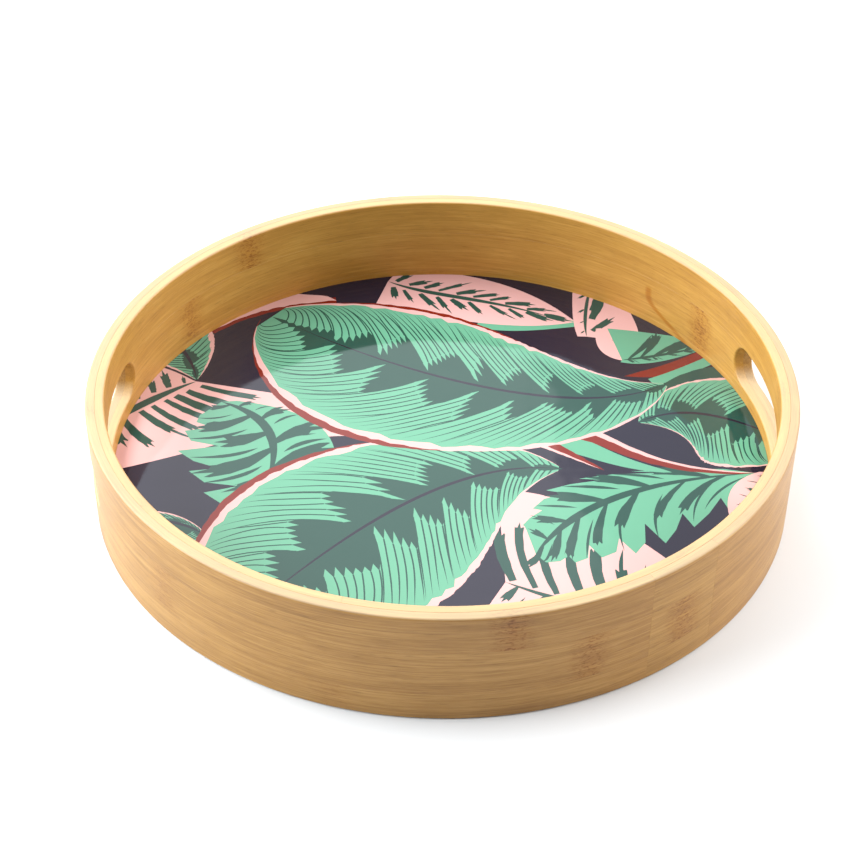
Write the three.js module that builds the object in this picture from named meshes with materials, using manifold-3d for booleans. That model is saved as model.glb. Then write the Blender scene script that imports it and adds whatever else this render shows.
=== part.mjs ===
// Round bamboo serving tray with a printed floor and two finger slots.
//
// The wall is a hoop of two bent plies, one inside the other. Each ply is edge-glued from three
// bamboo strips laid one above another. The outer ply is closed by a short splice, and the inner
// ply by a butt joint. The floor is a board faced with a plain sheet below, held in a groove in
// the lowest inner strip. A printed sheet lies on the board, inside the hoop.
//
// Millimetres, +Z up. The origin is the centre of the ring that the tray stands on, and the
// finger slots lie on the X axis.

import * as THREE from 'three';
import { mergeVertices } from 'three/addons/utils/BufferGeometryUtils.js';
import Module from 'manifold-3d';

const wasm = await Module();
wasm.setup();

// Hoop
const OUTER_RADIUS = 175;
const HEIGHT = 60;
const PLY = 4.5; // thickness of one bent ply
const STRIP_JOINTS = [15, 40]; // heights at which the strips of a ply meet
const EDGE_CHAMFER = 0.8; // along the edges of the rim and the foot that show
const GLUE_GAP = 0.3; // between the plies, at the upright joints and round the floor

// Finger slots, cut straight through both plies along X
const SLOT_LENGTH = 102;
const SLOT_HEIGHT = 21.2;
const SLOT_CENTRE_HEIGHT = 30;

// Upright joints in the hoop, in degrees anticlockwise from +X
const SPLICE_FROM = 298.5;
const SPLICE_TO = 311.3;
const INNER_BUTT_AT = 252;

// Floor
const FLOOR_TOP = 12;
const PRINT_THICKNESS = 0.5;
const BOARD_THICKNESS = 3.5;
const BACKING_THICKNESS = 0.5;
const GROOVE_DEPTH = 2.5;

// Fineness of the round shapes
const RING_SEGMENTS = 96;
const SLOT_END_SEGMENTS = 12;

// Worked out from the sizes above
const MID_RADIUS = OUTER_RADIUS - PLY;
const INNER_PLY_RADIUS = MID_RADIUS - GLUE_GAP;
const INNER_RADIUS = INNER_PLY_RADIUS - PLY;
const GROOVE_RADIUS = INNER_RADIUS + GROOVE_DEPTH;
const BOARD_RADIUS = GROOVE_RADIUS - GLUE_GAP;
const PRINT_RADIUS = INNER_RADIUS - GLUE_GAP;
const BOARD_TOP = FLOOR_TOP - PRINT_THICKNESS;
const BOARD_BOTTOM = BOARD_TOP - BOARD_THICKNESS;
const FLOOR_BOTTOM = BOARD_BOTTOM - BACKING_THICKNESS;
const GAP_DEGREES = THREE.MathUtils.radToDeg(GLUE_GAP / OUTER_RADIUS);
const PAST_WALL = OUTER_RADIUS + 25; // how far out the cutters reach

const finish = (color, roughness) =>
  new THREE.MeshStandardMaterial({ color, roughness, metalness: 0 });

// A manifold solid from a closed three.js geometry.
function solid(geometry) {
  geometry.deleteAttribute('normal');
  geometry.deleteAttribute('uv');
  const merged = mergeVertices(geometry, 1e-4);
  return new wasm.Manifold(
    new wasm.Mesh({
      numProp: 3,
      vertProperties: new Float32Array(merged.attributes.position.array),
      triVerts: new Uint32Array(merged.index.array),
    }),
  );
}

// A three.js geometry from a manifold solid.
function geometryOf(manifold) {
  const mesh = manifold.getMesh();
  const geometry = new THREE.BufferGeometry();
  geometry.setAttribute('position', new THREE.BufferAttribute(mesh.vertProperties, 3));
  geometry.setIndex(new THREE.BufferAttribute(mesh.triVerts, 1));
  geometry.computeVertexNormals();
  return geometry;
}

// A ring round Z from its section, [radius, height] points anticlockwise. A point may repeat the
// one before it, as where a chamfer has no size.
function ring(section) {
  const distinct = section.filter((point, i) => {
    const previous = section[(i + section.length - 1) % section.length];
    return point[0] !== previous[0] || point[1] !== previous[1];
  });
  const closed = [...distinct, distinct[0]].map(([r, z]) => new THREE.Vector2(r, z));
  const geometry = new THREE.LatheGeometry(closed, RING_SEGMENTS);
  geometry.rotateX(Math.PI / 2);
  return solid(geometry);
}

// The wedge between two angles, taller and wider than the hoop.
function wedge(fromDegrees, toDegrees) {
  const at = (degrees) =>
    new THREE.Vector2(PAST_WALL, 0).rotateAround(
      new THREE.Vector2(),
      THREE.MathUtils.degToRad(degrees),
    );
  const outline = new THREE.Shape([new THREE.Vector2(), at(fromDegrees), at(toDegrees)]);
  const geometry = new THREE.ExtrudeGeometry(outline, { depth: 2 * HEIGHT, bevelEnabled: false });
  geometry.translate(0, 0, -HEIGHT / 2);
  return solid(geometry);
}

// Both finger slots as one cutter: a bar with round ends that runs the length of X.
function slotCutter() {
  const end = SLOT_HEIGHT / 2;
  const endCentre = SLOT_LENGTH / 2 - end;
  const outline = new THREE.Shape();
  outline.absarc(endCentre, 0, end, -Math.PI / 2, Math.PI / 2, false);
  outline.absarc(-endCentre, 0, end, Math.PI / 2, (3 * Math.PI) / 2, false);
  const geometry = new THREE.ExtrudeGeometry(outline, {
    depth: 2 * PAST_WALL,
    bevelEnabled: false,
    curveSegments: SLOT_END_SEGMENTS,
  });
  geometry.translate(0, 0, -PAST_WALL);
  // The outline's x turns to Y, its y to Z, and the extrusion to X.
  const toWall = new THREE.Matrix4().makeBasis(
    new THREE.Vector3(0, 1, 0),
    new THREE.Vector3(0, 0, 1),
    new THREE.Vector3(1, 0, 0),
  );
  geometry.applyMatrix4(toWall);
  geometry.translate(0, 0, SLOT_CENTRE_HEIGHT);
  return solid(geometry);
}

const footChamfer = (low) => (low === 0 ? EDGE_CHAMFER : 0);
const rimChamfer = (high) => (high === HEIGHT ? EDGE_CHAMFER : 0);

// The section of a strip in the outer ply, chamfered outside.
function outerSection(low, high) {
  const foot = footChamfer(low);
  const rim = rimChamfer(high);
  return [
    [MID_RADIUS, low],
    [OUTER_RADIUS - foot, low],
    [OUTER_RADIUS, low + foot],
    [OUTER_RADIUS, high - rim],
    [OUTER_RADIUS - rim, high],
    [MID_RADIUS, high],
  ];
}

// The section of a strip in the inner ply, chamfered inside. The lowest one is grooved for the
// floor's edge.
function innerSection(low, high) {
  const foot = footChamfer(low);
  const rim = rimChamfer(high);
  const grooveTop = BOARD_TOP + GLUE_GAP;
  const grooveBottom = FLOOR_BOTTOM - GLUE_GAP;
  const groove = [
    [INNER_RADIUS, grooveTop],
    [GROOVE_RADIUS, grooveTop],
    [GROOVE_RADIUS, grooveBottom],
    [INNER_RADIUS, grooveBottom],
  ];
  return [
    [INNER_PLY_RADIUS, low],
    [INNER_PLY_RADIUS, high],
    [INNER_RADIUS + rim, high],
    [INNER_RADIUS, high - rim],
    ...(low < FLOOR_BOTTOM ? groove : []),
    [INNER_RADIUS, low + foot],
    [INNER_RADIUS + foot, low],
  ];
}

const tray = new THREE.Group();

function add(name, geometry, material) {
  const mesh = new THREE.Mesh(geometry, material);
  mesh.name = name;
  tray.add(mesh);
}

// Hoop: three strips in each ply, and three in the splice that closes the outer one
const outerBamboo = finish(0xc39a62, 0.4);
const spliceBamboo = finish(0xcba46b, 0.4);
const innerBamboo = finish(0xc8954c, 0.4);

const slots = slotCutter();
const spliceOpening = wedge(SPLICE_FROM, SPLICE_TO);
const spliceBody = wedge(SPLICE_FROM + GAP_DEGREES, SPLICE_TO - GAP_DEGREES);
const innerButt = wedge(INNER_BUTT_AT - GAP_DEGREES / 2, INNER_BUTT_AT + GAP_DEGREES / 2);

const levels = [0, ...STRIP_JOINTS, HEIGHT];
['bottom', 'middle', 'top'].forEach((level, i) => {
  const outer = ring(outerSection(levels[i], levels[i + 1])).subtract(slots);
  const inner = ring(innerSection(levels[i], levels[i + 1])).subtract(slots);
  add(`outer_strip_${level}`, geometryOf(outer.subtract(spliceOpening)), outerBamboo);
  add(`splice_strip_${level}`, geometryOf(outer.intersect(spliceBody)), spliceBamboo);
  add(`inner_strip_${level}`, geometryOf(inner.subtract(innerButt)), innerBamboo);
});

// Floor: a board between its two sheets
function disc(radius, low, high) {
  const geometry = new THREE.CylinderGeometry(radius, radius, high - low, RING_SEGMENTS);
  geometry.rotateX(Math.PI / 2);
  geometry.translate(0, 0, (low + high) / 2);
  return geometry;
}

add('backing_sheet', disc(BOARD_RADIUS, FLOOR_BOTTOM, BOARD_BOTTOM), finish(0xe3d7c0, 0.6));
add('floor_board', disc(BOARD_RADIUS, BOARD_BOTTOM, BOARD_TOP), finish(0x9a7a58, 0.85));
add('printed_sheet', disc(PRINT_RADIUS, BOARD_TOP, FLOOR_TOP), finish(0x4d8f78, 0.15));

export default tray;
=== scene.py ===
import math
import random

import bpy
from mathutils import Matrix, Vector
from mathutils.geometry import delaunay_2d_cdt


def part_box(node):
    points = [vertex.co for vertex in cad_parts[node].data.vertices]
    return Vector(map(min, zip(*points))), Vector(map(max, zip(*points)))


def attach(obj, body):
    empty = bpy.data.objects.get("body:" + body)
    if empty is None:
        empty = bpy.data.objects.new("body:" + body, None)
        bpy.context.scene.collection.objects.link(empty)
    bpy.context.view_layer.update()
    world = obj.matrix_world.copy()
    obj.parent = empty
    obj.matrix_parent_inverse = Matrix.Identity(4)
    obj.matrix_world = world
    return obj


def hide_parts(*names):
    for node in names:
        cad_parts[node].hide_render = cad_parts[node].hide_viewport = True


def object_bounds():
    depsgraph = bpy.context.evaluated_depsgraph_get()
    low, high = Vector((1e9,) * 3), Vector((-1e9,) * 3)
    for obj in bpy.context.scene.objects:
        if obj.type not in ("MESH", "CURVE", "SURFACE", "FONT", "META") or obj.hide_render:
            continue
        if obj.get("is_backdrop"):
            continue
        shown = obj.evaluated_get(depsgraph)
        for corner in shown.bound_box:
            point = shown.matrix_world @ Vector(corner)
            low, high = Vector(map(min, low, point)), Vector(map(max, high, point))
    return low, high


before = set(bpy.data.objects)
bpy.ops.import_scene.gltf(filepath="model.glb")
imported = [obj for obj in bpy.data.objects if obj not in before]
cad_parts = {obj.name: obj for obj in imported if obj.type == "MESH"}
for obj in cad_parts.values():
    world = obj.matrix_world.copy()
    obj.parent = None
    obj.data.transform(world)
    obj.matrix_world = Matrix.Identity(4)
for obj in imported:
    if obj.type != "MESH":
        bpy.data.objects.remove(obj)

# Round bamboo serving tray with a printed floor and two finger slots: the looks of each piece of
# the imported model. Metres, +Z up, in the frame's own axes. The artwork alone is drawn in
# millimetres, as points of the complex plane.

MM = 0.001
TOUCH = 1e-6
CAD_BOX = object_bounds()

# ---- sizes read from the frame

LEVELS = ("bottom", "middle", "top")


def heights(node):
    """The heights of a node's underside and top."""
    low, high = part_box(node)
    return low[2], high[2]


def section(node):
    """The corners of a ring's section, (radius, height), where the ring crosses +Y."""
    corners = [vertex.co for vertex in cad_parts[node].data.vertices]
    return [(co.y, co.z) for co in corners if abs(co.x) < TOUCH and co.y > 0]


def end_angles(node):
    """The angles, in degrees, of the first and last upright faces that a strip ends in."""
    angles = []
    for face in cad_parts[node].data.polygons:
        along = Vector((-face.center.y, face.center.x, 0)).normalized()
        if abs(face.normal.dot(along)) > 0.99:
            angles.append(math.degrees(math.atan2(face.center.y, face.center.x)) % 360)
    return min(angles), max(angles)


def slot_corners():
    """The corners of the right finger slot's faces, which all run along X."""
    found = []
    for level in LEVELS[1:]:
        node = f"outer_strip_{level}"
        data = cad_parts[node].data
        low, high = heights(node)
        for face in data.polygons:
            inside = low + TOUCH < face.center.z < high - TOUCH
            if inside and abs(face.normal.x) < 1e-3 and face.center.x > 0:
                found += [data.vertices[i].co for i in face.vertices]
    return found


OUTER_SECTION = section("outer_strip_bottom")
INNER_SECTION = section("inner_strip_bottom")
OUTER_RADIUS = max(r for r, z in OUTER_SECTION)
INNER_RADIUS = min(r for r, z in INNER_SECTION)
PLY_JOINT = (min(r for r, z in OUTER_SECTION) + max(r for r, z in INNER_SECTION)) / 2
HEIGHT = heights("outer_strip_top")[1]

JOINT_GAP = 0.05 * MM  # what shows between two glued pieces
EDGE_ROUND = 1.2 * MM  # on the edges of the rim and the foot
SEAM_ROUND = 0.07 * MM  # on the edges where strips meet
SLOT_ROUND = 1.1 * MM  # on the edges of the finger slots
FLARE = 75  # degrees that a slot's edge turns through
PAST_HOOP = 4 * MM  # how far the slots' cutter goes past the hoop
PRINT_GAP = 0.1 * MM  # between the printed sheet and the hoop
SHARP_ABOVE = math.radians(35)  # edges that turn by more than this stay sharp

FLOOR_TOP = heights("printed_sheet")[1]
FLOOR_BOTTOM = heights("backing_sheet")[0]
GROOVE = [(r, z) for r, z in INNER_SECTION if FLOOR_BOTTOM - MM < z < FLOOR_TOP]
GROOVE_RADIUS = max(r for r, z in GROOVE)
GROOVE_LOW = min(z for r, z in GROOVE)
GROOVE_HIGH = max(z for r, z in GROOVE)

SPLICE_ENDS = end_angles("splice_strip_bottom")
INNER_BUTT = sum(end_angles("inner_strip_bottom")) / 2

SLOT_CORNERS = slot_corners()
SLOT_HALF_LENGTH = max(co.y for co in SLOT_CORNERS)
SLOT_LOW = min(co.z for co in SLOT_CORNERS)
SLOT_HIGH = max(co.z for co in SLOT_CORNERS)
SLOT_HALF_HEIGHT = (SLOT_HIGH - SLOT_LOW) / 2
SLOT_CENTRE = (SLOT_HIGH + SLOT_LOW) / 2

# Fineness of the round shapes
DEGREES_PER_SEGMENT = 1
ROUND_STEPS = 5
SLOT_END_STEPS = 24
SLOT_SIDE_STEPS = 20
DISC_SEGMENTS = 180
SHEET_SEGMENTS = 360


# ---- meshes


def steps(first, last, count):
    """Numbers from first to last, evenly spaced."""
    return [first + (last - first) * i / (count - 1) for i in range(count)]


def circle(radius, count):
    """Points round a circle, anticlockwise from +X."""
    turns = [2 * math.pi * i / count for i in range(count)]
    return [(radius * math.cos(a), radius * math.sin(a)) for a in turns]


def piece_of(name, mesh, slot, node, *materials):
    """Puts a mesh in the scene as the looks of a CAD node."""
    for material in materials:
        mesh.materials.append(material)
    piece = bpy.data.objects.new(name, mesh)
    bpy.context.scene.collection.objects.link(piece)
    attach(piece, "root")
    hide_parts(node)


def mesh_of(name, points, faces):
    mesh = bpy.data.meshes.new(name)
    mesh.from_pydata(points, [], faces)
    mesh.validate()
    return mesh


def skin(loops):
    """The points and faces of a closed body over loops of points, each joined to the next."""
    size = len(loops[0])
    points = [point for loop in loops for point in loop]
    last = len(points) - size
    faces = [tuple(range(size)), tuple(reversed(range(last, last + size)))]
    for i in range(0, last, size):
        for j in range(size):
            k = (j + 1) % size
            faces.append((i + j, i + size + j, i + size + k, i + k))
    return points, faces


def quarter(centre, radius, start):
    """A quarter round in the (radius, height) plane, anticlockwise from start degrees."""
    turns = [math.radians(a) for a in steps(start, start + 90, ROUND_STEPS + 1)]
    return [(centre[0] + radius * math.cos(a), centre[1] + radius * math.sin(a)) for a in turns]


def swept(name, outline, start, end):
    """A strip of the hoop: its section's outline, anticlockwise, swept between two angles."""
    count = max(2, round((end - start) / DEGREES_PER_SEGMENT))
    loops = []
    for turn in map(math.radians, steps(start, end, count + 1)):
        loops.append([(r * math.cos(turn), r * math.sin(turn), z) for r, z in outline])
    return mesh_of(name, *skin(loops))


def slot_outline(grow):
    """A finger slot's outline, (y, height), widened all round by grow."""
    radius = SLOT_HALF_HEIGHT + grow
    centre = SLOT_HALF_LENGTH - SLOT_HALF_HEIGHT
    turns = [math.radians(a) for a in steps(-90, 90, SLOT_END_STEPS + 1)]
    right = [(centre + radius * math.cos(a), SLOT_CENTRE + radius * math.sin(a)) for a in turns]
    left = [(-y, 2 * SLOT_CENTRE - z) for y, z in right]
    sides = steps(centre, -centre, SLOT_SIDE_STEPS + 1)[1:-1]
    top = [(y, SLOT_CENTRE + radius) for y in sides]
    bottom = [(-y, SLOT_CENTRE - radius) for y, z in top]
    return right + top + left + bottom


def slot_cutter():
    """Both finger slots as closed bodies, flared where they meet the hoop's two round faces."""
    turns = [math.radians(a) for a in steps(0, FLARE, ROUND_STEPS + 1)]
    flare = [(SLOT_ROUND * math.sin(a), SLOT_ROUND * (1 - math.cos(a))) for a in turns]
    reach, widest = flare[-1]
    on_hoop = [(OUTER_RADIUS - reach + out + TOUCH, grow) for out, grow in reversed(flare)]
    on_hoop += [(INNER_RADIUS + reach - out - TOUCH, grow) for out, grow in flare]
    outermost = OUTER_RADIUS + PAST_HOOP
    innermost = math.sqrt(INNER_RADIUS**2 - SLOT_HALF_LENGTH**2) - PAST_HOOP

    loops = [[(outermost, y, z) for y, z in slot_outline(widest)]]
    for radius, grow in on_hoop:
        loops.append([(math.sqrt(radius**2 - y**2), y, z) for y, z in slot_outline(grow)])
    loops.append([(innermost, y, z) for y, z in slot_outline(widest)])

    points, faces = skin(loops)
    count = len(points)
    points += [(-x, -y, z) for x, y, z in points]
    faces += [tuple(i + count for i in face) for face in faces]
    return mesh_of("slot_cutter", points, faces)


def cut(mesh, cutter):
    """The mesh less the cutter."""
    body = bpy.data.objects.new("cut_body", mesh)
    tool = bpy.data.objects.new("cut_tool", cutter)
    for item in (body, tool):
        bpy.context.scene.collection.objects.link(item)
    modifier = body.modifiers.new("slots", "BOOLEAN")
    modifier.operation = "DIFFERENCE"
    modifier.solver = "EXACT"
    modifier.object = tool
    evaluated = body.evaluated_get(bpy.context.evaluated_depsgraph_get())
    result = bpy.data.meshes.new_from_object(evaluated)
    result.name = mesh.name
    bpy.data.objects.remove(body)
    bpy.data.objects.remove(tool)
    return result


def smooth(mesh):
    """Smooth shading, except at sharp edges."""
    mesh.polygons.foreach_set("use_smooth", [True] * len(mesh.polygons))
    mesh.set_sharp_from_angle(angle=SHARP_ABOVE)


def true_normals(mesh, outer, inner):
    """Gives the corners that lie on the strip's two round faces those faces' own normals."""
    near = 0.03 * MM
    normals = []
    for face in mesh.polygons:
        steep = abs(face.normal.z) < 0.2
        for i in face.vertices:
            x, y, _ = mesh.vertices[i].co
            radius = math.hypot(x, y)
            normals.append(Vector((0, 0, 0)))  # leaves the corner's normal as it is
            for surface, side in ((outer, 1), (inner, -1)):
                out = Vector((x, y, 0)) * side / radius
                if steep and abs(radius - surface) < near and face.normal.dot(out) > 0.9:
                    normals[-1] = out
    mesh.normals_split_custom_set(normals)


# ---- the hoop's strips

# Where a stem's joints cross each strip, in degrees, and how dark they are
NODE_MARKS = {
    "outer_strip_top": [(276.65, 1.0), (187, 0.7), (98, 0.8), (24, 0.6)],
    "outer_strip_middle": [(288.65, 0.8), (220.35, 0.35), (158, 0.7), (71, 0.9), (342, 0.6)],
    "outer_strip_bottom": [(251, 0.25), (196, 0.6), (121, 0.7), (38, 0.8)],
    "splice_strip_middle": [(304.85, 0.9)],
    "inner_strip_top": [(126.35, 1.0), (-6.75, 0.4), (214, 0.6), (305, 0.7)],
    "inner_strip_middle": [(142.05, 0.75), (29.35, 1.0), (236, 0.7), (287, 0.6)],
    "inner_strip_bottom": [(88, 0.3), (190, 0.5), (330, 0.4)],
}
MARK_REACH = 30 * MM  # past this distance along the strip, a mark no longer counts

# A run in the lacquer of the inner ply, by its angle in degrees and its height
RUN_TINT = (0.8, 0.6, 0.16, 1)
RUN_TOP = (43.8, 33 * MM)
RUN_FOOT = (34.5, 13 * MM)
RUN_HALF_WIDTH = (2.8 * MM, 6.5 * MM)  # at its top and foot


def rounds(low, high):
    """How far a strip's lower and upper edges are rounded."""
    foot = EDGE_ROUND if low < TOUCH else SEAM_ROUND
    rim = EDGE_ROUND if high > HEIGHT - TOUCH else SEAM_ROUND
    return foot, rim


def outer_outline(low, high):
    """A strip of the outer ply: rounded outside, most of all at the rim and the foot."""
    foot, rim = rounds(low, high)
    back = PLY_JOINT + JOINT_GAP / 2
    outline = [(back, low + SEAM_ROUND), (back + SEAM_ROUND, low)]
    outline += quarter((OUTER_RADIUS - foot, low + foot), foot, -90)
    outline += quarter((OUTER_RADIUS - rim, high - rim), rim, 0)
    outline += [(back + SEAM_ROUND, high), (back, high - SEAM_ROUND)]
    return outline


def inner_outline(low, high):
    """A strip of the inner ply. The lowest one is grooved for the floor's edge."""
    foot, rim = rounds(low, high)
    back = PLY_JOINT - JOINT_GAP / 2
    outline = [(back - SEAM_ROUND, low), (back, low + SEAM_ROUND)]
    outline += [(back, high - SEAM_ROUND), (back - SEAM_ROUND, high)]
    outline += quarter((INNER_RADIUS + rim, high - rim), rim, 90)
    if low < FLOOR_BOTTOM:
        outline += [(INNER_RADIUS, GROOVE_HIGH), (GROOVE_RADIUS, GROOVE_HIGH)]
        outline += [(GROOVE_RADIUS, GROOVE_LOW), (INNER_RADIUS, GROOVE_LOW)]
    outline += quarter((INNER_RADIUS + foot, low + foot), foot, 180)
    return outline


def along_strip(angle, start):
    """How far along a strip that starts at one angle another angle lies. Both are in degrees."""
    return math.radians((angle - start + 1) % 360 - 1) * OUTER_RADIUS


def mark_fibres(mesh, node, start):
    """Records, at each vertex, its place along and across the stem and the nearest joint mark."""
    marks = [(along_strip(angle, start), depth) for angle, depth in NODE_MARKS.get(node, [])]
    places = []
    distances = []
    strengths = []
    for vertex in mesh.vertices:
        x, y, z = vertex.co
        along = along_strip(math.degrees(math.atan2(y, x)), start)
        near = [(abs(along - mark), depth) for mark, depth in marks]
        distance, strength = min(near + [(MARK_REACH, 0.0)])
        places += [along, math.hypot(x, y), z]
        distances.append(distance)
        strengths.append(strength)
    for name, kind, field, values in (
        ("fibre", "FLOAT_VECTOR", "vector", places),
        ("mark_distance", "FLOAT", "value", distances),
        ("mark_strength", "FLOAT", "value", strengths),
    ):
        layer = mesh.attributes.new(name, kind, "POINT")
        layer.data.foreach_set(field, values)


def make_strip(node, outline, start, end, slot, cutter, finish):
    mesh = swept(node, outline, start, end)
    if not node.endswith("bottom") and not node.startswith("splice"):
        mesh = cut(mesh, cutter)
    smooth(mesh)
    radii = [r for r, z in outline]
    true_normals(mesh, max(radii), min(radii))
    mark_fibres(mesh, node, start)
    piece_of(f"{node}_bamboo", mesh, slot, node, finish)


def make_hoop():
    cutter = slot_cutter()
    gap = math.degrees(JOINT_GAP / OUTER_RADIUS)
    splice_from, splice_to = SPLICE_ENDS
    plies = {
        "outer": (outer_outline, splice_to + gap, splice_from + 360 - gap),
        "splice": (outer_outline, splice_from, splice_to),
        "inner": (inner_outline, INNER_BUTT + gap / 2, INNER_BUTT + 360 - gap / 2),
    }
    finishes = {ply: bamboo(ply, *tones) for ply, tones in BAMBOO_TONES.items()}
    for level in LEVELS:
        low, high = heights(f"outer_strip_{level}")
        for ply, (outline, start, end) in plies.items():
            node, shape, slot = f"{ply}_strip_{level}", outline(low, high), f"bamboo_{ply}"
            make_strip(node, shape, start, end, slot, cutter, finishes[ply])


# ---- the floor


def disc(name, radius, low, high, edge):
    """A closed disc in rings, so that its faces stay even, with a small bevel at each edge."""
    shares = (0.25, 0.5, 0.75)
    rings = [(radius * share, high) for share in shares]
    rings += [(radius - edge, high), (radius, high - edge)]
    rings += [(radius, low + edge), (radius - edge, low)]
    rings += [(radius * share, low) for share in reversed(shares)]
    loops = [[(x, y, z) for x, y in circle(r, DISC_SEGMENTS)] for r, z in rings]
    mesh = mesh_of(name, *skin(loops))
    smooth(mesh)
    return mesh


def make_layer(node, kind, slot, edge, material):
    """One of the two plain discs under the print."""
    mesh = disc(node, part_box(node)[1][0], *heights(node), edge)
    piece_of(f"{node}_{kind}", mesh, slot, node, material)


# ---- the artwork of the floor

INK_COLOURS = {
    "navy": (26, 24, 42),
    "green": (30, 66, 58),
    "mint": (90, 149, 121),
    "pink": (207, 159, 155),
    "brick": (112, 28, 20),
}
INKS = list(INK_COLOURS)

# Lengths in millimetres
FINEST_INK = 0.02
VEIN_WIDTH = 0.78
BROAD_RIB_WIDTH = 1.9
BORDER_ROUGH = 0.35

# A broad leaf, in shares of its half width
VEIN_END = 0.91
TUFT_TIP = 0.46
TUFT_FOOT = 0.13
STRANDS = 5.8  # of a tuft of the usual size
CENTRE_ENDS = (0.02, 0.95)  # of the dark centre, along the rib

# A stroke's broken end: each splinter's place across, and its shortest and longest length, in
# widths of the stroke
SPLINTERS = (
    (0.85, 0.0, 0.3),
    (0.35, -0.4, -0.1),
    (-0.05, 0.4, 1.2),
    (-0.4, -0.3, 0.0),
    (-0.85, -0.4, 0.2),
)


def held(t):
    return min(max(t, 0.0), 1.0)


def stretch(path, first, last):
    """A path's stretch between two of its places, which may lie past its ends."""
    return lambda share: path(first + (last - first) * share)


def fading(width, power=1):
    """An offset that falls from width to nothing along a curve."""
    return lambda t: width * (1 - t) ** power


def opening(width, rate):
    """An offset that soon grows to width along a curve, the sooner for a higher rate."""
    return lambda t: width * min(rate * t, 1)


def bezier(points, t):
    a, b, c, d = points
    u = 1 - t
    return u**3 * a + 3 * u * u * t * b + 3 * u * t * t * c + t**3 * d


def bezier_turn(points, t):
    """The curve's direction at t, as a complex number of length 1."""
    a, b, c, d = points
    u = 1 - t
    along = u * u * (b - a) + 2 * u * t * (c - b) + t * t * (d - c)
    return along / abs(along)


class Leaf:
    """A broad leaf. t runs along the rib from the pointed end, 0, to the round end, 1, and s runs
    out from the rib, to 1 at the left edge and to -1 at the right one."""

    def __init__(self, rib, left, right, lean=0.9, fullest=1.6, bluntness=0.6):
        self.rib = rib
        self.half = {1: left, -1: right}
        self.lean = lean
        self.fullest = fullest
        self.bluntness = bluntness

    def swell(self, t):
        """How wide the leaf is at t, as a share of its widest."""
        return max(math.sin(math.pi * held(t) ** self.fullest), 0.0) ** self.bluntness

    def out(self, t, s):
        """The point straight out from the rib at t, at share s of the way to the edge."""
        half = self.half[1 if s > 0 else -1] * self.swell(t)
        return bezier(self.rib, held(t)) + bezier_turn(self.rib, held(t)) * 1j * half * s

    def vein(self, t, s):
        """The point at share s along the vein that leaves the rib at t, towards the round end."""
        t = held(t)
        at_edge = 1 - (1 - t) ** (1 + self.lean)
        return self.out(t + (at_edge - t) * abs(s) ** 1.25, s)

    def outline(self):
        left = [self.out(t, 1) for t in steps(0, 1, 60)]
        right = [self.out(t, -1) for t in steps(1, 0, 60)]
        return left + right[1:-1]


def blade(rib, edge, bow=0.0):
    """One side of a narrow-leaved plant's leaf, as a function of t, which runs along its rib and
    its outer edge, and s, which runs from the rib, 0, to the edge, 1."""

    def at(t, s):
        root = bezier(rib, t)
        across = bezier(edge, t) - root
        return root + across * s + 1j * across * bow * math.sin(math.pi * s)

    return at


def crossing(at, t, near, far, slope):
    """A path over a blade, from one share of the way across to another."""
    return lambda share: at(t + slope * share, near + (far - near) * share)


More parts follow.
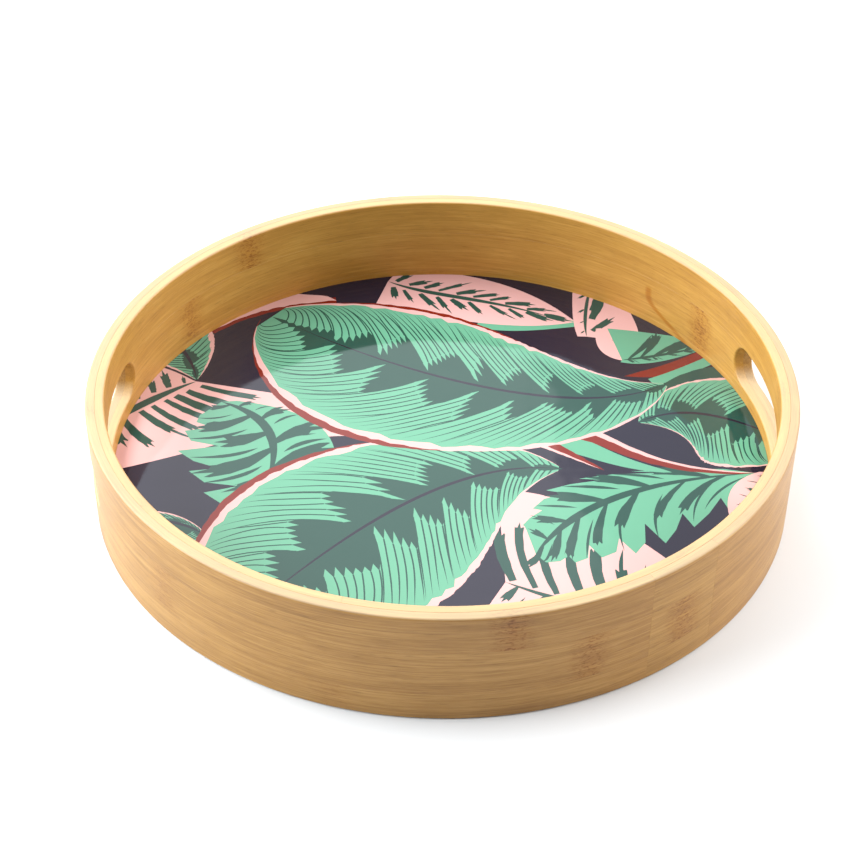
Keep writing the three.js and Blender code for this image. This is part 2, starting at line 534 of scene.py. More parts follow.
class Artwork:
    """Areas of ink, each laid over the ones before it."""

    def __init__(self, seed):
        self.areas = []
        self.rng = random.Random(seed)

    def lay(self, ink, points):
        self.areas.append((ink, points))

    def jitter(self, most):
        return self.rng.uniform(-most, most)

    def stroke(self, ink, path, width, count=12, blunt=False):
        """A brush stroke along path(0..1), as wide as width at its fullest, which comes to a
        point at its end and, unless it is blunt, at its start."""
        left = []
        right = []
        for share in steps(0, 1, count):
            here = path(share)
            ahead = path(min(share + 0.02, 1)) - path(max(share - 0.02, 0))
            across = 1j * ahead / abs(ahead)
            taper_in = 1 if blunt else min(share / 0.3, 1) ** 0.7
            taper_out = min((1 - share) / 0.45, 1) ** 0.8
            half = max(width / 2 * taper_in * taper_out, FINEST_INK)
            left.append(here + across * half)
            right.append(here - across * half)
        self.lay(ink, left + right[::-1])

    def splintered_stroke(self, ink, path, width, root):
        """A broad stroke that starts at root times its width and breaks off in a few splinters,
        one of them long."""
        left = []
        right = []
        fullest = self.rng.uniform(0.45, 0.8)
        for share in steps(0, 1, 9):
            ahead = path(min(share + 0.05, 1)) - path(max(share - 0.05, 0))
            turn = ahead / abs(ahead)
            half = width / 2 * (root + (1 - root) * min(share / fullest, 1) ** 0.8)
            left.append(path(share) + 1j * turn * half * self.rng.uniform(0.9, 1.1))
            right.append(path(share) - 1j * turn * half * self.rng.uniform(0.9, 1.1))
        hand = self.rng.choice((1, -1))
        ends = []
        for across, shortest, longest in SPLINTERS:
            length = width * self.rng.uniform(shortest, longest)
            ends.append(path(1) + 1j * turn * across * hand * width / 2 + turn * length)
        self.lay(ink, left + ends[::hand] + right[::-1])

    def ribbon(self, ink, curve, low, high, rough=0.0):
        """A band between two offsets from a curve, each a number or a function of the place
        along it."""
        sides = []
        for offset, places in ((low, steps(0, 1, 24)), (high, steps(1, 0, 24))):
            for t in places:
                away = (offset(t) if callable(offset) else offset) + self.jitter(rough)
                sides.append(bezier(curve, t) + bezier_turn(curve, t) * 1j * away)
        self.lay(ink, sides)

    # Broad striped leaves

    def border(self, ink, leaf, side, start, end, most):
        """A border outside one edge of a leaf, between two places along its rib, with a rough
        outer side."""
        near = []
        far = []
        for share in steps(0, 1, 40):
            t = start + (end - start) * share
            near.append(leaf.out(t, side * 0.97))
            far.append(leaf.out(t, side * (1 + most * math.sin(math.pi * share) ** 0.8)))
        shake = BORDER_ROUGH
        far = [point + complex(self.jitter(shake), self.jitter(shake)) for point in far[::-1]]
        self.lay(ink, near + far)

    def ragged(self, leaf, low, high, count=46):
        """A leaf's outline, its edge stepping in and out between two shares of its width."""
        points = []
        for side, first, last in ((1, 0.012, 0.985), (-1, 0.985, 0.012)):
            for t in steps(first, last, count):
                points.append(leaf.out(t, side * self.rng.uniform(low, high)))
        return points

    def striped_leaf(self, leaf, tufts, light):
        """A broad leaf: a border, a light blade between two shares of the leaf's width, a dark
        centre feathered into tufts, and fine dark veins."""
        self.lay("pink", self.ragged(leaf, 0.99, 1.012, 90))
        self.lay("mint", self.ragged(leaf, *light))
        left, left_veins = self.feathered_edge(leaf, 1, tufts)
        right, right_veins = self.feathered_edge(leaf, -1, tufts)
        self.lay("green", [leaf.out(0, 0.1)] + left + [leaf.out(0.985, 0.05)] + right[::-1])
        for side, t, s in left_veins + right_veins:
            path = self.along_vein(leaf, side, t, s)
            self.stroke("green", path, VEIN_WIDTH, 10, blunt=True)
        self.stroke("navy", lambda share: leaf.out(0.03 + 0.9 * share, 0.0), BROAD_RIB_WIDTH, 30)

    def along_vein(self, leaf, side, t, near):
        """A path out along a vein to near the leaf's edge, which wavers a little."""
        sway = self.jitter(0.006) * leaf.swell(t) ** 2

        def path(share):
            s = near + (VEIN_END - near) * share
            return leaf.vein(t + sway * math.sin(5 * share), side * s)

        return path

    def feathered_edge(self, leaf, side, tufts):
        """One edge of a leaf's dark centre, and where the veins beyond it start."""
        start, end = CENTRE_ENDS
        sizes = [self.rng.uniform(0.7, 1.3) for _ in range(tufts)]
        edge = []
        veins = []
        passed = 0.0
        for size in sizes:
            first = start + (end - start) * (passed / sum(sizes)) ** 1.15
            passed += size
            last = start + (end - start) * (passed / sum(sizes)) ** 1.15
            strands = max(4, round(STRANDS * size))
            deep = TUFT_FOOT * self.rng.uniform(0.7, 1.5)
            high = TUFT_TIP * self.rng.uniform(0.8, 1.2)
            for strand in range(strands):
                share = strand / (strands - 1)
                t = first + (last - first) * share * 0.95
                narrowing = min(1, (0.99 - t) / 0.3) ** 0.8
                s = (high + (deep - high) * share**1.3) * narrowing
                finger = 0.05 * self.rng.uniform(0.4, 1.5)
                notch = t + (last - first) / strands * 0.45
                edge.append(leaf.vein(t, side * max(s - finger, 0.02)))
                edge.append(leaf.vein(notch, side * (s + 0.5 * finger)))
                veins.append((side, notch, s + 0.4 * finger))
            for share in (0.3, 0.6):
                edge.append(leaf.vein(last, side * (deep + (TUFT_TIP - deep) * share) * narrowing))
        return edge, veins

    # Narrow leaves, brushed in over one ink

    def brushed(self, at, ink, strokes, width, torn=0.0, near=0.0, far=0.5, lean=-0.03):
        """One side of a leaf in one ink, with dark brush strokes out from its rib. Strokes that
        start at the rib have fine ones between them, and some of those that start clear of it
        trail off in a long tail."""
        self.lay(ink, self.blade_outline(at, strokes, torn))
        for k in range(strokes):
            t = (k + self.rng.uniform(0.3, 0.6)) / strokes
            beside = 0.5 / strokes
            gap = abs(at(min(t + beside, 1), 0.5) - at(max(t - beside, 0), 0.5))
            reach = far * self.rng.uniform(0.75, 1.2)
            slope = lean * self.rng.uniform(0.6, 1.6)
            path = crossing(at, t, near, reach, slope)
            stout = 0.4 * abs(path(1) - path(0))
            broad = min(width * self.rng.uniform(0.7, 1.1), 0.6 * gap, stout)
            self.splintered_stroke("green", path, broad, 0.65 if near else 0.22)
            longer = self.rng.uniform(1.3, 1.7)
            if not near:
                t += beside * self.rng.uniform(0.7, 1.1)
                fine = crossing(at, t, 0.2, min(far * longer, 0.95), slope)
                self.stroke("green", fine, 0.3 * broad, 10)
            elif self.rng.random() < 0.45:
                self.stroke("green", stretch(path, 0.8, longer), 0.35 * broad, 8, blunt=True)

    def blade_outline(self, at, strips, torn):
        """A blade's outline, its edge whole or torn into pointed strips."""
        rib = [at(t, 0) for t in steps(0, 1, 16)]
        if not torn:
            return rib + [at(t, 1) for t in steps(1, 0, 24)]
        edge = []
        for k in range(strips):
            notch = 1 - torn * self.rng.uniform(0.6, 1.2) * (k > 0)
            edge.append(at((k + 0.04) / strips, notch))
            edge.append(at((k - 0.1 * (k > 0)) / strips, self.rng.uniform(0.97, 1.08)))
            edge.append(at((k + 0.5) / strips, 1 - 0.2 * torn))
        return rib + [at(1, 0.9)] + edge[::-1] + [at(0, 0.9)]

    def rib(self, curve, width):
        self.stroke("green", lambda share: bezier(curve, share), width, 24)


def draw_left_leaves(art):
    small = Leaf([-131 + 60j, -136 + 85j, -150 + 105j, -172 + 118j], 26, 24, 0.8)
    art.border("brick", small, -1, 0.1, 0.98, 0.16)
    art.striped_leaf(small, 5, (0.82, 0.9))
    edge = [-128 + 106j, -112 + 124j, -92 + 134j, -60 + 138j]
    art.ribbon("brick", edge, -3.5, 3, rough=0.5)
    art.ribbon("pink", edge, -0.5, lambda t: 12 * math.sin(math.pi * t) ** 0.5, rough=0.5)

    rib = [-182 + 14j, -162 + 34j, -146 + 50j, -131 + 59j]
    upper = blade(rib, [-196 + 60j, -180 + 80j, -160 + 82j, -133 + 60j])
    lower = blade(rib, [-178 - 22j, -124 - 2j, -92 + 14j, -60 + 42j], -0.06)
    art.brushed(upper, "pink", 6, 5, near=0.14, far=0.6, lean=0.02)
    art.brushed(lower, "pink", 9, 5.5, near=0.08, far=0.6, lean=0.02)
    art.rib(rib, 5)


def draw_back_leaves(art):
    rib = [-31 + 158j, -10 + 143j, 26 + 142j, 62 + 122j]
    upper = blade(rib, [-24 + 172j, 10 + 168j, 46 + 160j, 74 + 119j])
    lower = blade(rib, [-38 + 132j, -8 + 124j, 38 + 106j, 74 + 118j])
    art.ribbon("mint", [20 + 116j, 36 + 110j, 56 + 114j, 76 + 118j], -4, 3)
    art.brushed(upper, "pink", 10, 4.0, near=0.14, far=0.55, lean=0.05)
    art.brushed(lower, "pink", 10, 4.0, near=0.14, far=0.5, lean=0.05)
    art.rib(rib, 3.4)

    rib = [80 + 104j, 79 + 122j, 82 + 140j, 88 + 168j]
    left = blade(rib, [75 + 104j, 72 + 120j, 74 + 140j, 76 + 168j])
    right = blade(rib, [108 + 98j, 112 + 112j, 104 + 130j, 98 + 170j], 0.05)
    art.brushed(left, "pink", 5, 2, near=0.15)
    art.brushed(right, "pink", 5, 6, near=0.12, far=0.45, lean=0.3)
    art.rib(rib, 2)


def draw_upper_right_leaves(art):
    turned = [87 + 112j, 90 + 92j, 98 + 80j, 124 + 86j]
    art.ribbon(
        "pink",
        turned,
        lambda t: -7 * math.sin(math.pi * (0.15 + 0.8 * t)) ** 2,
        lambda t: 5 * math.sin(math.pi * (0.1 + 0.85 * t)),
    )
    rib = [98 + 82j, 110 + 84j, 126 + 88j, 150 + 98j]
    upper = blade(rib, [92 + 112j, 108 + 110j, 124 + 106j, 150 + 100j], -0.15)
    lower = blade(rib, [97 + 80j, 108 + 76j, 124 + 80j, 150 + 97j])
    art.brushed(upper, "mint", 6, 6.5, far=0.75, lean=0.25)
    art.brushed(lower, "mint", 6, 2, far=0.6, lean=0.1)
    art.rib(rib, 2.2)

    stripe = [98 + 67j, 116 + 72j, 132 + 82j, 158 + 102j]
    art.ribbon("pink", stripe, 0, opening(3.4, 4), rough=0.3)
    art.ribbon("brick", stripe, opening(-8, 3), opening(1.4, 6))
    art.ribbon("mint", [112 + 62j, 124 + 68j, 138 + 77j, 158 + 92j], -4, 3)
    art.ribbon("brick", [122 + 61j, 134 + 66j, 146 + 73j, 165 + 86j], -5, 0)

    side = Leaf([102 + 26j, 128 + 44j, 152 + 34j, 190 + 2j], 38, 40)
    art.border("green", side, 1, 0.03, 0.95, 0.35)
    art.striped_leaf(side, 6, (0.93, 0.97))


def draw_right_leaves(art):
    rib = [30 - 98j, 56 - 112j, 90 - 124j, 124 - 126j]
    fan = blade(rib, [28 - 32j, 52 - 26j, 84 - 50j, 118 - 94j], 0.1)
    art.brushed(fan, "pink", 8, 6.0, near=0.05, far=0.6, lean=0.02)
    art.brushed(blade(rib, [20 - 118j, 40 - 140j, 80 - 160j, 120 - 150j]), "pink", 7, 6)
    art.rib(rib, 3.2)

    rib = [45 - 78j, 62 - 46j, 92 - 22j, 158 - 15j]
    upper = blade(rib, [40 - 58j, 46 - 30j, 60 - 12j, 140 - 12j], -0.08)
    lower = blade(rib, [50 - 84j, 84 - 84j, 112 - 70j, 162 - 22j], -0.1)
    art.brushed(lower, "mint", 7, 5, torn=0.35, far=0.62, lean=-0.12)
    art.brushed(upper, "mint", 5, 7, torn=0.4, far=0.75, lean=-0.1)
    art.rib(rib, 4.4)

    stem = [66 + 20j, 90 + 14j, 98 - 15j, 158 - 15j]
    under = [58 + 11j, 76 + 6j, 84 - 8j, 116 - 15j]
    art.ribbon("mint", under, fading(-8, 0.6), fading(8, 0.6))
    art.ribbon("pink", stem, 0, fading(5, 0.6), rough=0.2)
    art.ribbon("brick", stem, fading(-6.5, 0.6), fading(1.2), rough=0.3)
    short = [42 + 14j, 54 + 7j, 66 - 3j, 82 - 14j]
    art.ribbon("pink", short, fading(-4.5), 0, rough=0.2)
    art.ribbon("brick", short, fading(-1), fading(6.5, 0.7), rough=0.2)

    rib = [170 - 14j, 158 - 26j, 148 - 42j, 150 - 70j]
    art.brushed(blade(rib, [160 - 14j, 140 - 22j, 136 - 44j, 146 - 72j]), "pink", 4, 4)


def draw_middle_left_leaves(art):
    rib = [-116 + 41j, -90 + 30j, -80 + 8j, -88 - 30j]
    plain = Leaf([-76 + 36j, -62 + 36j, -46 + 30j, -38 + 12j], 3, 22, 0.1, 1.0, 0.8)
    art.lay("pink", plain.outline())
    right = blade(rib, [-108 + 42j, -72 + 36j, -52 + 20j, -54 - 14j], 0.12)
    left = blade(rib, [-126 + 30j, -140 + 6j, -128 - 26j, -104 - 52j], 0.1)
    art.brushed(left, "mint", 5, 9, torn=0.4, far=0.7, lean=-0.08)
    art.brushed(right, "mint", 4, 12, far=0.8, lean=-0.05)
    art.rib(rib, 5)

    edge = Leaf([-112 - 68j, -128 - 52j, -150 - 50j, -190 - 70j], 60, 8)
    art.border("brick", edge, -1, 0.0, 0.98, 0.6)
    art.striped_leaf(edge, 6, (0.8, 0.88))


def draw_near_leaves(art):
    """The stretch nearest the viewer, at the foot of the wall."""
    rib = [-30 - 128j, -6 - 140j, 20 - 150j, 50 - 172j]
    art.brushed(blade(rib, [-34 - 120j, -8 - 116j, 18 - 124j, 48 - 150j]), "mint", 7, 6, torn=0.3)
    art.rib(rib, 3)
    low = Leaf([116 - 76j, 126 - 88j, 132 - 102j, 130 - 136j], 18, 20)
    art.border("brick", low, -1, 0.05, 0.95, 0.16)
    art.striped_leaf(low, 6, (0.86, 0.93))


def draw_big_leaves(art):
    front = Leaf([61 - 13j, 6 - 4j, -48 - 62j, -104 - 140j], 64, 62)
    art.border("green", front, 1, 0.02, 0.62, 0.26)
    art.border("brick", front, -1, 0.42, 0.99, 0.07)
    art.striped_leaf(front, 9, (0.905, 0.965))
    back = Leaf([121 + 61j, 72 + 24j, -25 + 66j, -98 + 124j], 64, 53)
    art.border("green", back, -1, 0.0, 0.5, 0.24)
    art.border("brick", back, -1, 0.45, 0.99, 0.05)
    art.border("brick", back, 1, 0.5, 0.995, 0.08)
    art.striped_leaf(back, 10, (0.905, 0.965))


def draw_artwork():
    art = Artwork(7)
    for draw in (
        draw_left_leaves,
        draw_back_leaves,
        draw_upper_right_leaves,
        draw_right_leaves,
        draw_middle_left_leaves,
        draw_near_leaves,
        draw_big_leaves,
    ):
        draw(art)
    return art.areas


ARTWORK_TURN = math.radians(-3.25)  # of the artwork, against the line between the finger slots


def signed_area(points):
    pairs = zip(points, points[1:] + points[:1])
    return sum((here.conjugate() * there).imag for here, there in pairs)


def goes_round(outline, point):
    """Whether a closed outline goes round a point, crossing itself or not."""
    rounds = 0
    for here, there in zip(outline, outline[1:] + outline[:1]):
        if (here.imag <= point.imag) != (there.imag <= point.imag):
            upward = there.imag > here.imag
            on_left = ((there - here).conjugate() * (point - here)).imag > 0
            if upward == on_left:
                rounds += 1 if upward else -1
    return rounds != 0


def uppermost(areas, over, point):
    """The last of the areas in over that the point lies in."""
    for number in sorted(over, reverse=True):
        if goes_round(areas[number][1], point):
            return number
    return 0


def inked_triangles(radius):
    """The sheet's face as triangles, each with the ink that lies uppermost in it."""
    ground = [complex(x, y) for x, y in circle(radius, SHEET_SEGMENTS)]
    turn = complex(math.cos(ARTWORK_TURN), math.sin(ARTWORK_TURN))
    areas = [("navy", ground)] + draw_artwork()
    areas = [(ink, [turn * point for point in outline]) for ink, outline in areas]
    points = []
    faces = []
    for ink, outline in areas:
        first = len(points)
        points += [Vector((p.real, p.imag)) for p in outline]
        faces.append(list(range(first, len(points))))
        if signed_area(outline) < 0:
            faces[-1].reverse()
    spots, _, triangles, _, _, sources = delaunay_2d_cdt(points, [], faces, 1, 1e-7, True)
    kept = []
    for triangle, over in zip(triangles, sources):
        if 0 in over:
            middle = sum((spots[i] for i in triangle), Vector((0, 0))) / 3
            top = uppermost(areas, over, complex(middle.x, middle.y))
            kept.append((triangle, INKS.index(areas[top][0])))
    return spots, kept


def make_print():
    """The printed sheet: a face of inked triangles over a plain edge and back."""
    low, high = heights("printed_sheet")
    spots, kept = inked_triangles((INNER_RADIUS - PRINT_GAP) / MM)
    used = sorted({i for triangle, ink in kept for i in triangle})
    place = {old: new for new, old in enumerate(used)}
    top = [(spots[i].x * MM, spots[i].y * MM, high) for i in used]
    faces = [tuple(place[i] for i in triangle) for triangle, ink in kept]
    inks = [ink for triangle, ink in kept]

    sides = dict.fromkeys(side for face in faces for side in zip(face, face[1:] + face[:1]))
    following = {a: b for a, b in sides if (b, a) not in sides}
    rim = [next(iter(following))]
    while following[rim[-1]] != rim[0]:
        rim.append(following[rim[-1]])
    below = range(len(top), len(top) + len(rim))
    bottom = [(top[a][0], top[a][1], low) for a in rim]
    for i, a in enumerate(rim):
        faces.append((a, rim[i - 1], below[i - 1], below[i]))
    faces.append(tuple(reversed(below)))

    mesh = bpy.data.meshes.new("printed_sheet")
    mesh.from_pydata(top + bottom, [], faces)
    paper = [len(INKS)] * (len(faces) - len(inks))
    mesh.polygons.foreach_set("material_index", inks + paper)
    mesh.update()
    finishes = [printed(name) for name in INKS] + [paper_edge()]
    piece_of("printed_sheet_leaves", mesh, "print", "printed_sheet", *finishes)


# ---- finishes


def linear(red, green, blue):
    """A colour given as 0 to 255, as the shader takes it."""

    def channel(value):
        value /= 255
        return value / 12.92 if value <= 0.04045 else ((value + 0.055) / 1.055) ** 2.4

    return (channel(red), channel(green), channel(blue), 1.0)


BUNDLE_TINT = (0.8, 0.72, 0.6, 1)
PATCH_TINT = (0.84, 0.66, 0.34, 1)
FLECK_TINT = (0.6, 0.45, 0.2, 1)
# Painted highlight: the paler colour that faces looking up are mixed toward
TOP_HIGHLIGHT_COLOUR = linear(205, 196, 172)

# Dark, middle and light tones, how far the grain is moved, and how strongly bundles stand out
BAMBOO_TONES = {
    "outer": ((120, 80, 34), (161, 117, 58), (190, 147, 83), 0.0, 0.65),
    "splice": ((122, 83, 35), (163, 120, 60), (192, 150, 85), 3.1, 0.65),
    "inner": ((149, 100, 36), (178, 128, 54), (201, 153, 75), 6.7, 0.25),
}


class Finish:
    """A material and its node tree, with short calls for the nodes that the finishes share."""

    def __init__(self, name):
        self.material = bpy.data.materials.new(name)
        self.material.use_nodes = True
        self.tree = self.material.node_tree
        self.shader = self.tree.nodes["Principled BSDF"]

    def feed(self, socket, value):
        if isinstance(value, bpy.types.NodeSocket):
            self.tree.links.new(value, socket)
        else:
            socket.default_value = value

    def set(self, **values):
        for name, value in values.items():
            self.feed(self.shader.inputs[name.replace("_", " ")], value)

    def node(self, kind, inputs=(), **settings):
        """A new node, its inputs given as pairs of a name or place and a value."""
        node = self.tree.nodes.new(f"ShaderNode{kind}")
        for name, value in settings.items():
            setattr(node, name, value)
        for key, value in inputs:
            self.feed(node.inputs[key], value)
        return node

    def attribute(self, name, output="Fac"):
        return self.node("Attribute", attribute_name=name).outputs[output]

    def place(self):
        """Where a point of the piece is, in metres."""
        return self.node("TexCoord").outputs["Object"]

    def math(self, operation, *values):
        return self.node("Math", enumerate(values), operation=operation).outputs[0]

    def times(self, first, second, plus=0.0):
        """The product of two values, with a third added."""
        return self.math("MULTIPLY_ADD", first, second, plus)

    def weighted(self, total, *terms):
        """A number, and each value times its weight."""
        for value, weight in terms:
            total = self.times(value, weight, total)
        return total

    def vector(self, operation, *values):
        node = self.node("VectorMath", enumerate(values), operation=operation)
        return node.outputs["Value" if operation == "DOT_PRODUCT" else "Vector"]

    def noise(self, place, scale, detail=2.0, roughness=0.5):
        """Noise with features about 1 / scale metres long. The scale is one number, or one for
        each axis."""
        scale = scale if isinstance(scale, tuple) else (scale,) * 3
        names = ("Vector", "Scale", "Detail", "Roughness")
        values = (self.vector("MULTIPLY", place, scale), 1.0, detail, roughness)
        return self.node("TexNoise", zip(names, values)).outputs["Fac"]

    def between(self, value, low, high, to_low=0.0, to_high=1.0):
        """Maps low..high to to_low..to_high, and holds it there beyond."""
        names = ("Value", "From Min", "From Max", "To Min", "To Max")
        node = self.node("MapRange", zip(names, (value, low, high, to_low, to_high)))
        return node.outputs["Result"]

    def fading(self, value, low, high):
        """1 up to low, and from there down to 0 at high."""
        return self.between(value, low, high, 1.0, 0.0)

    def ramp(self, value, stops):
        node = self.node("ValToRGB", [("Fac", value)])
        elements = node.color_ramp.elements
        while len(elements) < len(stops):
            elements.new(0.5)
        for element, (position, colour) in zip(elements, stops):
            element.position = position
            element.color = colour
        return node.outputs["Color"]

    def mix(self, share, first, second, blend="MIX"):
        node = self.node("Mix", data_type="RGBA", blend_type=blend)
        colours = [socket for socket in node.inputs if socket.type == "RGBA"]
        for socket, value in zip([node.inputs[0], *colours], (share, first, second)):
            self.feed(socket, value)
        return [socket for socket in node.outputs if socket.type == "RGBA"][0]

    def bump(self, height, distance, strength=1.0, normal=None):
        inputs = [("Height", height), ("Distance", distance), ("Strength", strength)]
        if normal is not None:
            inputs.append(("Normal", normal))
        return self.node("Bump", inputs).outputs["Normal"]


def lacquer_run(finish, fibre):
    """Where the run in the lacquer lies on the inner ply, from 0 to 1."""
    top, foot = [along_strip(angle, INNER_BUTT) for angle, z in (RUN_TOP, RUN_FOOT)]
    narrow, wide = RUN_HALF_WIDTH
    node = finish.node("SeparateXYZ", [(0, fibre)])
    along, radius, height = [node.outputs[axis] for axis in "XYZ"]
    fall = finish.math("POWER", finish.fading(height, RUN_FOOT[1], RUN_TOP[1]), 1.8)
    centre = finish.times(fall, foot - top, top)
    sway = finish.times(finish.math("SINE", finish.times(height, 330)), 1.6 * MM)
    away = finish.math("SUBTRACT", along, finish.math("ADD", centre, sway))
    half = finish.times(fall, wide - narrow, narrow)
    share = finish.math("DIVIDE", finish.math("ABSOLUTE", away), half)
    across = finish.fading(share, 0.3, 1.0)
    below_top = finish.fading(height, RUN_TOP[1], RUN_TOP[1] + 2 * MM)
    inside = finish.fading(radius, INNER_RADIUS + 0.3 * MM, INNER_RADIUS + 0.6 * MM)
    return finish.times(finish.times(across, below_top), inside)


def waver(finish, fibre, near_mark):
    """The fibres' place, wavering a little, and most of all where they pass a stem's joint."""
    swing = finish.times(near_mark, 2.2 * MM, 0.9 * MM)
    lift = finish.times(finish.math("SUBTRACT", finish.noise(fibre, (14, 120, 120)), 0.5), swing)
    node = finish.node("CombineXYZ", [("Y", lift), ("Z", lift)])
    return finish.vector("ADD", fibre, node.outputs[0])


def stem_joint(finish, fibre, distance, strength):
    """A joint of the stem, from 0 to 1: its ragged patch, and the darker flecks in it."""
    ragged = finish.noise(fibre, (60, 240, 240), 3, 0.6)
    drift = finish.times(finish.math("SUBTRACT", ragged, 0.5), 14 * MM)
    offset = finish.math("ABSOLUTE", finish.math("ADD", distance, drift))
    patch = finish.times(finish.fading(offset, 1 * MM, 12 * MM), strength)
    flecks = finish.between(finish.noise(fibre, (420, 1300, 1300), 2, 0.6), 0.5, 0.62)
    return patch, finish.times(flecks, patch)


def bamboo(ply, dark, middle, light, shift, figure):
    """Bent bamboo under satin lacquer, in three tones. The grain follows the strip round the
    hoop, shift moves it so that no two plies share it, and figure says how strongly single
    bundles of fibres stand out."""
    finish = Finish(f"bamboo_{ply}")
    dark, middle, light = [linear(*tone) for tone in (dark, middle, light)]
    fibre = finish.attribute("fibre", "Vector")
    run = lacquer_run(finish, fibre) if ply == "inner" else 0.0
    distance = finish.attribute("mark_distance")
    strength = finish.attribute("mark_strength")
    near_mark = finish.times(finish.fading(distance, 0.0, 22 * MM), strength)
    fibre = waver(finish, finish.vector("ADD", fibre, (shift, shift, 0.0)), near_mark)

    bands = finish.noise(fibre, (2.2, 150, 150))
    streaks = finish.noise(fibre, (14, 620, 620), 4, 0.65)
    threads = finish.noise(fibre, (48, 2100, 2100), 3, 0.6)
    clouds = finish.noise(fibre, (26, 70, 70), 4, 0.6)
    tone = finish.weighted(-0.12, (bands, 0.2), (streaks, 0.38), (threads, 0.42), (clouds, 0.24))
    colour = finish.ramp(tone, [(0.26, dark), (0.5, middle), (0.72, light)])

    # Here and there one bundle of fibres is darker or paler than its neighbours.
    bundles = finish.noise(fibre, (7, 760, 760), 2, 0.6)
    deeper = finish.between(bundles, 0.58, 0.64, 0.0, 0.5 * figure)
    colour = finish.mix(deeper, colour, BUNDLE_TINT, "MULTIPLY")
    paler = finish.between(bundles, 0.36, 0.42, 0.4 * figure, 0.0)
    colour = finish.mix(paler, colour, light)

    # Cut pores show as short dark dashes.
    dashes = finish.noise(fibre, (130, 2600, 2600), 1)
    pores = finish.between(dashes, 0.62, 0.74, 0.0, 0.32)
    colour = finish.mix(pores, colour, tuple(0.4 * c for c in dark[:3]) + (1,))

    patch, flecks = stem_joint(finish, fibre, distance, strength)
    colour = finish.mix(finish.times(patch, 0.6), colour, PATCH_TINT, "MULTIPLY")
    colour = finish.mix(flecks, colour, FLECK_TINT, "MULTIPLY")
    colour = finish.mix(run, colour, RUN_TINT, "MULTIPLY")

    # Painted highlight: faces that look up are mixed toward a paler colour, as the strong light
    # from above shows them; the same share also makes them rougher.
    facing = finish.node("NewGeometry").outputs["Normal"]
    pale = finish.between(finish.vector("DOT_PRODUCT", facing, (0, 0, 1)), 0.4, 0.95, 0.0, 0.35)
    colour = finish.mix(pale, colour, TOP_HIGHLIGHT_COLOUR)

    relief = [(streaks, 0.6), (threads, 0.4), (pores, -0.9), (flecks, -0.2), (run, 1.0)]
    rough = [(threads, 0.12), (pores, 0.25), (pale, 0.9), (run, -0.06)]
    finish.set(
        Base_Color=colour,
        Roughness=finish.weighted(0.36, *rough),
        Normal=finish.bump(finish.weighted(0.0, *relief), 0.09 * MM, 0.7),
        Specular_IOR_Level=0.3,
        Coat_Weight=0.2,
        Coat_Roughness=0.33,
    )
    return finish.material


def printed(name):
    """Ink under a glossy clear film, which is a little wavy and lightly scuffed by use."""
    finish = Finish(f"print_{name}")
    place = finish.place()
    relief = finish.bump(finish.noise(place, 28), 0.35 * MM)
    relief = finish.bump(finish.noise(place, 1800), 0.004 * MM, normal=relief)
    scuffs = finish.noise(place, (12, 160, 50), 3, 0.6)
    rough = finish.between(scuffs, 0.55, 0.75, 0.03, 0.09)
    rough = finish.times(finish.noise(place, 18, 3), 0.05, rough)
    finish.set(Base_Color=linear(*INK_COLOURS[name]), Roughness=rough, Normal=relief)
    return finish.material


def paper_edge():
    """The cut edge and back of the printed sheet."""
    finish = Finish("print_paper")
    pulp = finish.noise(finish.place(), 900, 4)
    colour = finish.ramp(pulp, [(0.3, linear(214, 204, 186)), (0.7, linear(238, 232, 218))])
    finish.set(Base_Color=colour, Roughness=0.8, Normal=finish.bump(pulp, 0.05 * MM))
    return finish.material


def fibreboard():
    """Pressed wood fibre, as it shows at the board's sawn edge."""
    finish = Finish("fibreboard")
    clumps = finish.noise(finish.place(), (240, 240, 700), 4, 0.65)
    flecks = finish.noise(finish.place(), (1400, 1400, 2600))
    tone = finish.weighted(0.0, (clumps, 0.6), (flecks, 0.4))
    colour = finish.ramp(tone, [(0.3, linear(112, 84, 58)), (0.7, linear(176, 142, 104))])
    finish.set(Base_Color=colour, Roughness=0.85, Normal=finish.bump(tone, 0.2 * MM))
    return finish.material


def backing_paper():
    """The plain sheet under the board: matt, faintly mottled, with a fine grain of pulp in its
    relief.
    """
    finish = Finish("backing")
    mottle = finish.noise(finish.place(), 150, 4, 0.6)
    pulp = finish.noise(finish.place(), 1500, 3)
    tone = finish.weighted(0.0, (mottle, 0.4), (pulp, 0.6))
    colour = finish.ramp(tone, [(0.25, linear(210, 191, 158)), (0.75, linear(227, 210, 180))])
    rough = finish.times(mottle, 0.15, 0.55)
    finish.set(Base_Color=colour, Roughness=rough, Normal=finish.bump(pulp, 0.05 * MM))
    return finish.material


# ---- stage, lights and camera


STAGE_RADIUS = 1.0
STAGE_SEGMENTS = 96
STAGE_GAP = 0.05 * MM
ROOM_SEEN = 1.0  # the room's brightness, to the camera
ROOM_LIGHT = 0.16  # and as it lights the tray


def make_stage():
    """A pale floor just under the tray's foot."""
    rim = [(x, y, -STAGE_GAP) for x, y in circle(STAGE_RADIUS, STAGE_SEGMENTS)]
    mesh = mesh_of("stage_floor", rim, [tuple(range(STAGE_SEGMENTS))])
    floor = bpy.data.objects.new("stage_floor", mesh)
    bpy.context.scene.collection.objects.link(floor)
    floor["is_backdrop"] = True
    finish = Finish("stage_floor")
    finish.set(Base_Color=(0.68, 0.68, 0.68, 1), Roughness=0.9)
    mesh.materials.append(finish.material)


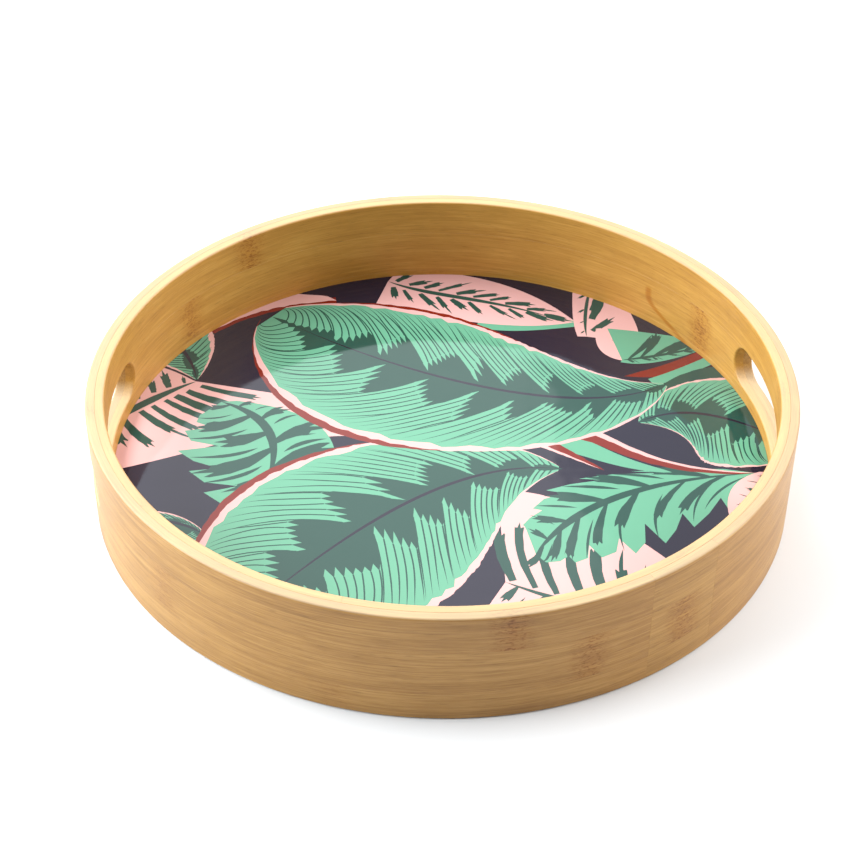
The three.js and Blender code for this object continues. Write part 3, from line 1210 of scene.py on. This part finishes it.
def make_world():
    """A white room, which lights the tray less than it would if it were as bright as it looks."""
    world = bpy.data.worlds.new("studio")
    world.use_nodes = True
    tree = world.node_tree
    background = tree.nodes["Background"]
    background.inputs["Color"].default_value = (1, 1, 1, 1)
    seen = tree.nodes.new("ShaderNodeLightPath").outputs["Is Camera Ray"]
    strength = tree.nodes.new("ShaderNodeMapRange")
    strength.inputs["To Min"].default_value = ROOM_LIGHT
    strength.inputs["To Max"].default_value = ROOM_SEEN
    tree.links.new(seen, strength.inputs["Value"])
    tree.links.new(strength.outputs["Result"], background.inputs["Strength"])
    bpy.context.scene.world = world


def softbox(name, place, size, power, colour=(1, 1, 1)):
    """A large soft light that faces the tray."""
    light = bpy.data.lights.new(name, "AREA")
    light.shape = "RECTANGLE"
    light.size, light.size_y = size
    light.energy = power
    light.color = colour
    lamp = bpy.data.objects.new(name, light)
    lamp.location = place
    lamp.rotation_euler = (-Vector(place)).to_track_quat("-Z", "Y").to_euler()
    bpy.context.scene.collection.objects.link(lamp)


def make_lights():
    softbox("light_back", (0.0, 1.5, 1.3), (2.4, 1.4), 11)
    softbox("light_back_left", (-0.8, 1.5, 1.3), (2.4, 1.4), 10)
    softbox("light_top", (0.0, 0.65, 1.9), (2.8, 1.8), 24)
    softbox("light_left", (-1.46, 0.2, 0.85), (2.0, 1.3), 88, (0.92, 1.0, 1.06))
    softbox("light_right", (1.46, 0.2, 0.85), (2.0, 1.3), 54)


FOCAL_LENGTH = 79.2  # millimetres, for the usual 36 mm sensor
CAMERA_AZIMUTH = math.radians(-3.25)
CAMERA_ELEVATION = math.radians(37.71)
CAMERA_ROLL = math.radians(0.485)
CAMERA_DISTANCE = 0.9031
CAMERA_TARGET = Vector((-7.6 * MM, -45.2 * MM, HEIGHT))


def make_camera():
    data = bpy.data.cameras.new("camera")
    data.lens = FOCAL_LENGTH
    camera = bpy.data.objects.new("camera", data)
    back = Vector(
        (
            math.cos(CAMERA_ELEVATION) * math.sin(CAMERA_AZIMUTH),
            -math.cos(CAMERA_ELEVATION) * math.cos(CAMERA_AZIMUTH),
            math.sin(CAMERA_ELEVATION),
        )
    )
    level = Vector((math.cos(CAMERA_AZIMUTH), math.sin(CAMERA_AZIMUTH), 0))
    upright = back.cross(level)
    right = math.cos(CAMERA_ROLL) * level + math.sin(CAMERA_ROLL) * upright
    up = math.cos(CAMERA_ROLL) * upright - math.sin(CAMERA_ROLL) * level
    turn = Matrix((right, up, back)).transposed().to_4x4()
    camera.matrix_world = Matrix.Translation(CAMERA_TARGET + CAMERA_DISTANCE * back) @ turn
    bpy.context.scene.collection.objects.link(camera)
    bpy.context.scene.camera = camera


# ---- the tray

make_camera()
make_hoop()
make_print()
make_layer("floor_board", "fibreboard", "fibreboard", 0.2 * MM, fibreboard())
make_layer("backing_sheet", "paper", "backing", 0.1 * MM, backing_paper())
make_stage()
make_world()
make_lights()
bpy.context.scene.view_settings.view_transform = "Standard"

sizes = {"cad": CAD_BOX, "visual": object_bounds()}
{name: [list(corner) for corner in box] for name, box in sizes.items()}
